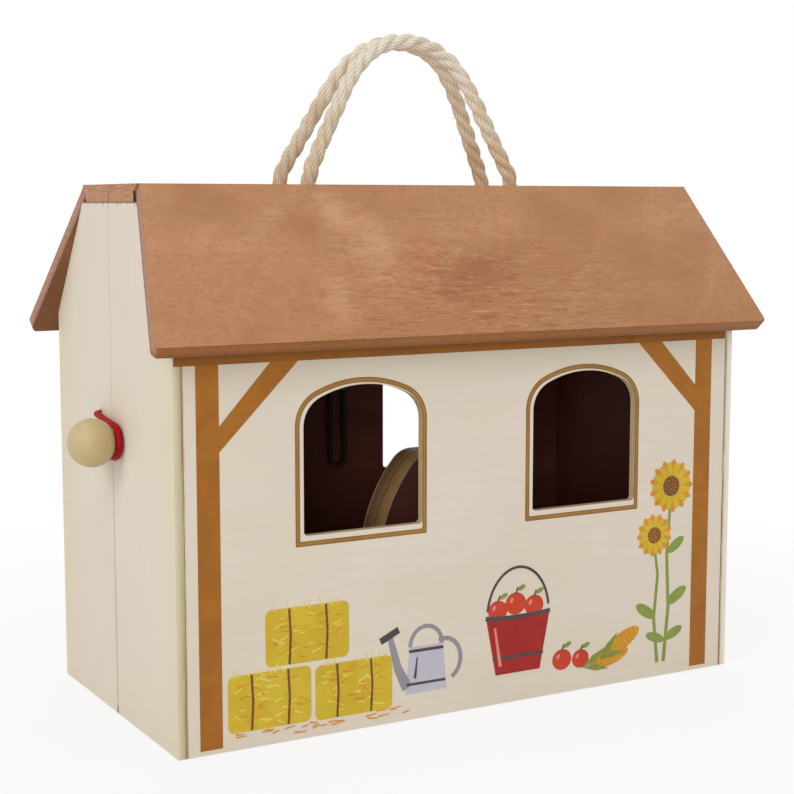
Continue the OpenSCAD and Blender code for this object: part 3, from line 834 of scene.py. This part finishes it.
def rope_points(half):
    """The route from foot to foot, leaning to the seam, with both ends sunk in the ridge."""
    foot, top = ROPE_ROUTE[0][1], max(z for _, z in ROPE_ROUTE)
    points = []
    for x, z in ROPE_ROUTE:
        lean = ROPE_Y - (ROPE_Y - ROPE_TOP_Y) * (z - foot) / (top - foot)
        points.append(Vector((rope_x(half, x), HALVES[half] * lean, RIDGE_TOP + z * MM)))
    first, last = points[0].copy(), points[-1].copy()
    first.z = last.z = RIDGE_TOP - ROPE_SUNK
    return [first] + points + [last]


def make_rope_handle(half, material):
    line = smooth_line(rope_points(half), 0.6 * MM)
    maker = MeshMaker()
    lay_rope(maker, line, START_TURN[half])
    add_fuzz(maker, line)
    rope = maker.piece(f"{half}_rope", material)
    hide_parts(f"{half}_rope_handle")
    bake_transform(rope)
    length = lengths_along(line)[-1]
    tuple(line[0])
    [tuple(p) for p in line[::4] + [line[-1]]]


def knot_line(x, y):
    """An overhand knot under the ridge: down, once round, through, and out below."""
    under = RIDGE_UNDER
    points = [(x, y, RIDGE_TOP - ROPE_SUNK), (x, y, under - 1 * MM)]
    for i, spot in enumerate(arc(x, y, 6.6 * MM, 6.6 * MM, 0, 420, 12)):
        points.append((*spot, under - (4 + 7.5 * i / 12) * MM))
    points += [(x, y, under - down * MM) for down in (13, 18, 24)]
    return smooth_line(points, 0.8 * MM)


def make_rope_knots(half, material):
    maker = MeshMaker()
    for x in (ROPE_ROUTE[0][0], ROPE_ROUTE[-1][0]):
        lay_rope(maker, knot_line(rope_x(half, x), HALVES[half] * ROPE_Y))
    knots = maker.piece(f"{half}_rope_ends", material)
    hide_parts(f"{half}_rope_knots")
    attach(knots, f"{half}_half")


KNOB = Vector((0, (knob_lo.y + knob_hi.y) / 2, (knob_lo.z + knob_hi.z) / 2))
ELASTIC_D = 3.0 * MM
ELASTIC_OUT = 2.4 * MM
ELASTIC_LOOP = 7.4 * MM
ELASTIC_Y = 15.6 * MM
ELASTIC_HALF = 10 * MM


def make_elastic(material):
    """The loop comes out of the rear gable, goes round the knob's neck and back in."""
    face = -GABLE_FACE
    plane = face - ELASTIC_OUT

    def arm(side):
        z = KNOB.z + side * ELASTIC_HALF
        return [(face + GABLE_T, ELASTIC_Y, z), (face + 0.5 * MM, ELASTIC_Y, z),
                (face - 1.6 * MM, ELASTIC_Y - 0.8 * MM, z - side * 0.1 * MM),
                (plane, ELASTIC_Y - 3.6 * MM, z - side * 0.45 * MM)]

    turns = [(plane, *spot) for spot in
             arc(KNOB.y, KNOB.z, ELASTIC_LOOP, ELASTIC_LOOP, 84, 276, 12)]
    maker = MeshMaker()
    maker.tube(smooth_line(arm(1) + turns + arm(-1)[::-1], 0.5 * MM),
               lambda s, a: ELASTIC_D / 2 * (1 + 0.03 * sin(s * 900) * cos(a)), 20)
    loop = maker.piece("elastic", material)
    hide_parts("elastic_loop")
    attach(loop, "rear_half")


def make_elastic_knots(material):
    """The elastic's ends are knotted inside the gable."""
    maker = MeshMaker()
    inside = -GABLE_FACE + GABLE_T
    for side in (-1, 1):
        z = KNOB.z + side * ELASTIC_HALF
        points = [(inside - 1 * MM, ELASTIC_Y, z), (inside + 0.6 * MM, ELASTIC_Y, z)]
        for i, spot in enumerate(arc(ELASTIC_Y, z, 2.2 * MM, 2.2 * MM, 0, 380, 10)):
            points.append((inside + (1.5 + 2.0 * i / 10) * MM, *spot))
        points += [(inside + 3.6 * MM, ELASTIC_Y, z), (inside + 6.5 * MM, ELASTIC_Y, z),
                   (inside + 9.0 * MM, ELASTIC_Y, z - 0.8 * MM)]
        maker.tube(smooth_line(points, 0.4 * MM), lambda s, a: ELASTIC_D / 2 * 0.9, 14)
    knots = maker.piece("elastic_ends", material)
    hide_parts("elastic_knots")
    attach(knots, "rear_half")


SLOT_HALF_WIDTH = 0.24 * MM
SLOT_SUNK = 0.02 * MM
SLOT_PROUD = 0.03 * MM


def make_screw_slots(half, material):
    """Cross slots in the heads of the hinge screws, as thin dark slabs of painted shade."""
    screws = [v.co for v in nodes[f"{half}_hinge_screws"].data.vertices]
    face = max(co.x for co in screws)
    rims = sorted((co for co in screws if co.x > face - 0.01 * MM), key=lambda co: co.z)
    heads = [[rims[0]]]
    for co in rims[1:]:
        if co.z - heads[-1][-1].z > 3 * MM:
            heads.append([])
        heads[-1].append(co)
    points, faces = [], []
    for i, head in enumerate(heads):
        middle = sum(head, Vector()) / len(head)
        long, wide = 0.34 * (head[-1].z - head[0].z), SLOT_HALF_WIDTH
        cross = [(wide, long), (-wide, long), (-wide, wide)]
        for _ in range(3):
            cross += [(-z, y) for y, z in cross[-3:]]
        turn = Matrix.Rotation(radians(25 + 40 * i), 3, "X")
        base, count = len(points), len(cross)
        for x in (face - SLOT_SUNK, face + SLOT_PROUD):
            for y, z in cross:
                spot = middle + turn @ Vector((0, y, z))
                points.append((x, spot.y, spot.z))
        faces.append(tuple(base + k for k in reversed(range(count))))
        faces.append(tuple(base + count + k for k in range(count)))
        for k in range(count):
            m = (k + 1) % count
            faces.append((base + k, base + m, base + count + m, base + count + k))
    slots = add_mesh(f"{half}_screw_slots", points, faces, material)
    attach(slots, f"{half}_half")


# The print on the walls: flat shapes in millimetres, along the barn and up

INKS = {
    "timber": ((171, 107, 30), (150, 90, 24)),
    # The beam's ink is a redder brown than the posts', and darker as well, as painted shade from
    # the eave.
    "beam": ((156, 95, 28), (132, 78, 22)),
    "line": ((156, 106, 48), (138, 90, 38)),
    "line_middle": ((164, 128, 64), (146, 108, 48)),
    "yellow": ((214, 186, 52), (200, 164, 36)),
    "pale_yellow": ((234, 212, 104), (226, 196, 78)),
    "orange": ((220, 150, 46), (206, 128, 36)),
    "red": ((170, 40, 34), (148, 30, 28)),
    "orange_red": ((206, 70, 40), (190, 52, 34)),
    "pale_red": ((228, 140, 120), (220, 120, 100)),
    "lilac": ((200, 195, 206), (186, 180, 194)),
    "grey": ((158, 152, 160), (140, 134, 142)),
    "dark": ((84, 74, 70), (66, 58, 56)),
    "brown": ((124, 80, 44), (104, 64, 36)),
    "green": ((140, 156, 74), (118, 138, 60)),
}
# How far an ink stands off the wall, what each layer adds, and a level's share of a layer
INK_THICK = 0.03
LAYER_STEP = 0.025
LEVEL_SHARE = 0.12
INK_SUNK = 0.02 * MM
GOLDEN_ANGLE = 2.39996


@cache
def ink(name):
    return print_material(f"ink_{name}", *INKS[name])


def turned(x, z, tilt):
    """A point turned about the origin by a tilt in degrees."""
    c, s = cos(radians(tilt)), sin(radians(tilt))
    return x * c - z * s, x * s + z * c


def oval(cx, cz, rx, rz, tilt=0.0, count=36):
    ring = [turned(x, z, tilt) for x, z in arc(0, 0, rx, rz, 0, 360, count)[:-1]]
    return [(cx + x, cz + z) for x, z in ring]


def rounded_box(x0, z0, x1, z1, r):
    return (arc(x1 - r, z0 + r, r, r, -90, 0, 6) + arc(x1 - r, z1 - r, r, r, 0, 90, 6)
            + arc(x0 + r, z1 - r, r, r, 90, 180, 6) + arc(x0 + r, z0 + r, r, r, 180, 270, 6))


def stroke(points, width, end_width=None):
    """A line of some width, narrowing to end_width where that is given."""
    end_width = width if end_width is None else end_width
    count = len(points) - 1
    left, right = [], []
    for i, (x, z) in enumerate(points):
        before, after = points[max(i - 1, 0)], points[min(i + 1, count)]
        dx, dz = after[0] - before[0], after[1] - before[1]
        size = hypot(dx, dz)
        half = (width + (end_width - width) * i / count) / 2
        left.append((x - dz / size * half, z + dx / size * half))
        right.append((x + dz / size * half, z - dx / size * half))
    return left + right[::-1]


def window_outline(cx, z0, half, height, shoulder, rise):
    """A three-centred arch on straight sides, with small rounded lower corners."""
    corner = 0.6
    big = ((half - shoulder) ** 2 + rise ** 2 - shoulder ** 2) / (2 * (rise - shoulder))
    spring = z0 + height - rise
    drop = rise - big
    lean = degrees(atan2(-drop, half - shoulder))
    right = (arc(half - corner, z0 + corner, corner, corner, -90, 0, 4)
             + arc(half - shoulder, spring, shoulder, shoulder, 0, lean, 14)
             + arc(0, spring + drop, big, big, lean, 90, 15)[1:])
    left = [(-x, z) for x, z in reversed(right[:-1])]
    return [(cx + x, z) for x, z in right + left]


def make_print(half, name, loops, colour, layer=0):
    """Loops as one thin slab on a wall's outer face; a loop inside another is a hole."""
    name = f"{half}_print_{name}"
    curve = bpy.data.curves.new(name, "CURVE")
    curve.dimensions = "2D"
    curve.fill_mode = "BOTH"
    top = (INK_THICK + LAYER_STEP * layer) * MM
    curve.extrude = (top + INK_SUNK) / 2
    for loop in loops:
        spline = curve.splines.new("POLY")
        spline.points.add(len(loop) - 1)
        spline.use_cyclic_u = True
        for point, (x, z) in zip(spline.points, loop):
            point.co = (x * MM, z * MM, 0, 1)
    shape = add_object(name + "_outline", curve)
    bpy.context.view_layer.update()
    drawn = shape.evaluated_get(bpy.context.evaluated_depsgraph_get())
    mesh = bpy.data.meshes.new_from_object(drawn)
    bpy.data.objects.remove(shape)
    mesh.name = name
    place = (0, HALVES[half] * (WALL_FACE + (top - INK_SUNK) / 2), 0)
    mesh.transform(Matrix.Translation(place) @ Matrix.Rotation(radians(90), 4, "X"))
    mesh.materials.clear()
    mesh.materials.append(ink(colour))
    made = add_object(name, mesh)
    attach(made, f"{half}_half")
    return made


def levels_apart(loops):
    """A level for each loop, so that no two that may overlap share one face."""
    placed = []
    for loop in loops:
        xs, zs = zip(*loop)
        x0, x1, z0, z1 = min(xs), max(xs), min(zs), max(zs)
        taken = {level for a0, a1, c0, c1, level in placed
                 if a0 <= x1 and x0 <= a1 and c0 <= z1 and z0 <= c1}
        placed.append((x0, x1, z0, z1, min(set(range(len(loops))) - taken)))
    return [place[-1] for place in placed]


def make_loose(name, loops, colour, layer):
    """Shapes on the front that may overlap, each filled by itself and joined in one piece."""
    parts = [make_print("front", f"{name}_{i}", [loop], colour, layer + LEVEL_SHARE * level)
             for i, (loop, level) in enumerate(zip(loops, levels_apart(loops)))]
    first = parts[0]
    with bpy.context.temp_override(active_object=first, object=first, selected_objects=parts,
                                   selected_editable_objects=parts):
        bpy.ops.object.join()
    first.name = first.data.name = f"front_print_{name}"


def make_timber(half):
    """The printed half-timber frame and the lines round the windows."""
    under = 168.2
    end, reach, top = GABLE_FACE / MM - 0.4, wall_hi.x / MM - 0.3, WALL_TOP / MM - 0.4
    turn = -HALVES[half]
    posts = [[(-140, 2), (-129.5, 2), (-129.5, 131), (-92.3, under), (-105.6, under),
              (-129.5, 142), (-129.5, under), (-140, under)],
             [(126.8, 2), (137, 2), (137, under), (126.8, under), (126.8, 146),
              (105.5, under), (91.4, under), (126.8, 133)]]
    make_print(half, "posts", [[(turn * x, z) for x, z in loop] for loop in posts], "timber")
    beam = [(-end, under), (reach, under), (reach, top), (-end, top)]
    make_print(half, "beam", [[(turn * x, z) for x, z in beam]], "beam", 1)

    def outline(cx, wide):
        return window_outline(cx - turn, 86.4 + wide, 33.1 - wide, 73.1 - 2 * wide,
                              16.6 - wide * 0.9, 20.2 - wide * 0.9)

    for name, colour, layer, outer, inner in (("lines", "line", 1, 0, 2.25),
                                              ("middles", "line_middle", 2, 0.75, 1.6)):
        rings = [outline(cx, wide) for cx in (-60, 60) for wide in (outer, inner)]
        make_print(half, f"window_{name}", rings, colour, layer)


def make_bales():
    """Three straw bales, stacked, with twine and loose straws."""
    bales = [(-127, 7.5, -87, 33), (-85, 7, -46, 32), (-109, 34.5, -68, 60)]
    make_print("front", "bales", [rounded_box(*bale, 3) for bale in bales], "yellow", 1)
    twine, straw, shade = [], [], []
    for x0, z0, x1, z1 in bales:
        for share in (0.28, 0.72):
            x = x0 + (x1 - x0) * share
            twine.append(stroke([(x, z0 + 0.3), (x + 0.7, (z0 + z1) / 2), (x, z1 - 0.3)], 1.1))
        for _ in range(40):
            x, z = rng.uniform(x0 + 3, x1 - 6), rng.uniform(z0 + 2.5, z1 - 2.5)
            tilt = rng.uniform(-0.5, 0.5)
            long = rng.uniform(2.5, 6.0)
            end = (x + long * cos(tilt), z + long * sin(tilt))
            (straw if rng.random() < 0.5 else shade).append(stroke([(x, z), end], 0.85, 0.4))
        for _ in range(9):
            x = rng.uniform(x0 + 2, x1 - 2)
            lean = rng.uniform(-2.2, 2.2)
            end = (x + lean, z1 + rng.uniform(1.5, 4.0))
            straw.append(stroke([(x, z1 - 1), end], 0.8, 0.3))
    for _ in range(22):
        x, z = rng.uniform(-130, -40), rng.uniform(3.2, 7)
        end = (x + rng.uniform(3, 6), z + rng.uniform(-1, 1))
        shade.append(stroke([(x, z), end], 0.8, 0.4))
    make_loose("straw", straw, "pale_yellow", 2)
    make_loose("straw_shade", shade, "orange", 3)
    make_loose("twine", twine, "brown", 4)


def make_can():
    """A watering can in pale lilac grey."""
    x = -28
    body = [(x - 11, 12), (x + 11, 12), (x + 9, 34), (x - 9, 34)]
    make_print("front", "can", [body], "lilac")
    spout = stroke([(x - 10, 15), (x - 15, 25), (x - 19, 40)], 5.5, 2.8)
    rose = stroke([(x - 24, 38.6), (x - 14.5, 43.0)], 3.2)
    handle = stroke(arc(x + 9.5, 26, 9, 10, -62, 108, 14), 2.2)
    bail = stroke(arc(x, 34, 8.5, 9, 0, 180, 14), 2.0)
    make_loose("can_arms", [spout, handle, bail], "grey", 1)
    rim = stroke([(x - 9.2, 32), (x + 9.2, 32)], 1.4)
    foot = stroke([(x - 10.4, 16.5), (x + 10.3, 16.5)], 1.2)
    shine = stroke([(x - 6, 19), (x - 4.8, 29)], 1.4, 0.6)
    make_loose("can_marks", [rose, rim, foot, shine], "dark", 3)


def make_bucket():
    """A red bucket full of apples, with two more beside it."""
    make_print("front", "bucket", [[(10, 14), (35, 14), (40.5, 42), (4.5, 42)]], "red", 2)
    apples = [(11, 45, 5.4), (21, 47.5, 5.8), (31.5, 45.5, 5.4), (48, 16.5, 5.6), (59, 15.5, 5.0)]
    make_loose("apples", [oval(x, z, r, r * 0.92) for x, z, r in apples], "orange_red", 1)
    rim = stroke(arc(22.5, 42.6, 19.4, 1.6, 200, 340, 20), 2.2)
    hoop = stroke([(8.3, 22), (36.9, 22)], 1.6)
    grip = stroke(arc(22.5, 42, 17.4, 23, 8, 172, 24), 1.3)
    stalks = [stroke([(x, z + r * 0.8), (x + 1.2, z + r * 1.35)], 1.0, 0.6) for x, z, r in apples]
    make_loose("bucket_lines", [rim, hoop, grip] + stalks, "dark", 3)
    leaves = [oval(x + 3.2, z + r * 1.25, 2.4, 1.1, 25) for x, z, r in apples]
    make_loose("apple_leaves", leaves, "green", 4)
    shine = [oval(x - r * 0.4, z + r * 0.3, r * 0.16, r * 0.26, -25) for x, z, r in apples]
    shine.append(stroke([(12.5, 18), (9.4, 37)], 1.8, 1.2))
    make_loose("shine", shine, "pale_red", 5)


def make_corn():
    """Two cobs of corn lying in their husks, the second on the first."""
    cobs = [(76, 14, 12, 4.4, 12), (84, 21, 11.5, 4.2, 28)]
    for number, (cx, cz, long, fat, tilt) in enumerate(cobs):
        def at(u, v, cx=cx, cz=cz, tilt=tilt):
            x, z = turned(u, v, tilt)
            return cx + x, cz + z

        kernels = [oval(*at(u, v), 0.85, 0.5, tilt, 12) for v in (-2.4, -0.8, 0.8, 2.4)
                   for u in (2.6 * i - 6 for i in range(7))
                   if (u / long) ** 2 + (v / fat) ** 2 < 0.8]
        husks = [[at(-long - 4, 0), at(-long + 3, v * fat * 0.7 + up),
                  at(-long + 11, v * fat + up * 1.2), at(-long + 4, v * fat * 0.2)]
                 for v, up in ((-1, -1), (1, 1), (0, 0.2))]
        layer = 1 + 3 * number
        ear = oval(cx, cz, long, fat, tilt)
        make_print("front", f"cob_{number}", [ear], "orange", layer)
        make_loose(f"kernels_{number}", kernels, "yellow", layer + 1)
        make_loose(f"husks_{number}", husks, "green", layer + 2)


def make_sunflowers():
    """Two tall sunflowers by the right post."""
    heads = [(113, 96, 8.2, 0), (103, 72, 6.6, 15)]
    stems = [stroke([(110, 7), (112.5, 35), (111, 62), (113, 92)], 2.2, 1.6),
             stroke([(106, 7), (103.5, 30), (105.5, 52), (103, 68)], 2.0, 1.5)]
    leaves = [oval(117.5, 40, 7, 2.9, 32), oval(98.5, 34, 7, 2.8, 148),
              oval(116.5, 66, 6, 2.5, 35), oval(104.5, 20, 6, 2.4, 160), oval(116, 21, 6, 2.5, 25)]
    make_loose("stems", stems + leaves, "green", 1)

    def petal(x, z, r, out, tilt, long, fat):
        dx, dz = turned(r * out, 0, tilt)
        return oval(x + dx, z + dz, r * long, r * fat, tilt, 20)

    petals, seeds = 13, 26
    back, front, dots = [], [], []
    for x, z, r, start in heads:
        for i in range(petals):
            tilt = start + 360 * i / petals
            back.append(petal(x, z, r, 1.12, tilt, 0.52, 0.23))
            front.append(petal(x, z, r, 1.0, tilt + 180 / petals, 0.48, 0.20))
        for i in range(seeds):
            spiral = r * 0.54 * sqrt((i + 0.5) / seeds)
            angle = i * GOLDEN_ANGLE
            dots.append(oval(x + spiral * cos(angle), z + spiral * sin(angle),
                             0.32, 0.32, 0, 8))
    make_loose("petals_back", back, "orange", 2)
    make_loose("petals", front, "yellow", 3)
    make_loose("hearts", [oval(x, z, r * 0.62, r * 0.62) for x, z, r, _ in heads], "brown", 4)
    make_loose("seeds", dots, "orange", 5)


make_camera()
make_world()
make_floor()
for lamp in LAMPS:
    area_light(*lamp)

fibre = rope_material("rope_fibre", (255, 252, 240), (246, 231, 202), (158, 122, 76))
for half in HALVES:
    make_rope_handle(half, fibre)
for half in HALVES:
    make_rope_knots(half, fibre)
braid = elastic_material()
make_elastic(braid)
make_elastic_knots(braid)

finish_boards()
use(turned_wood("knob_beech", BALL, tuple(KNOB)), "knob")
use(turned_wood("peg_wood", INNER, (0, 0, 0.141)), "strap_peg")
for name in ("front_stall_dowels", "rear_stall_dowels"):
    use(turned_wood(name + "_wood", BARE, (0, 0, 0)), name)
use(strap_material(), "tack_strap")
use(metal("hinge_brass", (206, 172, 104), 0.35), "front_hinge_leaves", "rear_hinge_leaves",
    "front_hinge_screws", "rear_hinge_screws")
use(metal("pin_steel", (186, 188, 192), 0.3), "hinge_pins", "knob_screw")
# The slots' dark metal is painted shade in place of the recess.
slot_painted_shade = metal("slot_painted_shade", (84, 68, 46), 0.6)
for half in HALVES:
    make_screw_slots(half, slot_painted_shade)
for half in HALVES:
    make_timber(half)
make_bales()
make_can()
make_bucket()
make_corn()
make_sunflowers()

scene = bpy.context.scene
scene.view_settings.view_transform = "Standard"
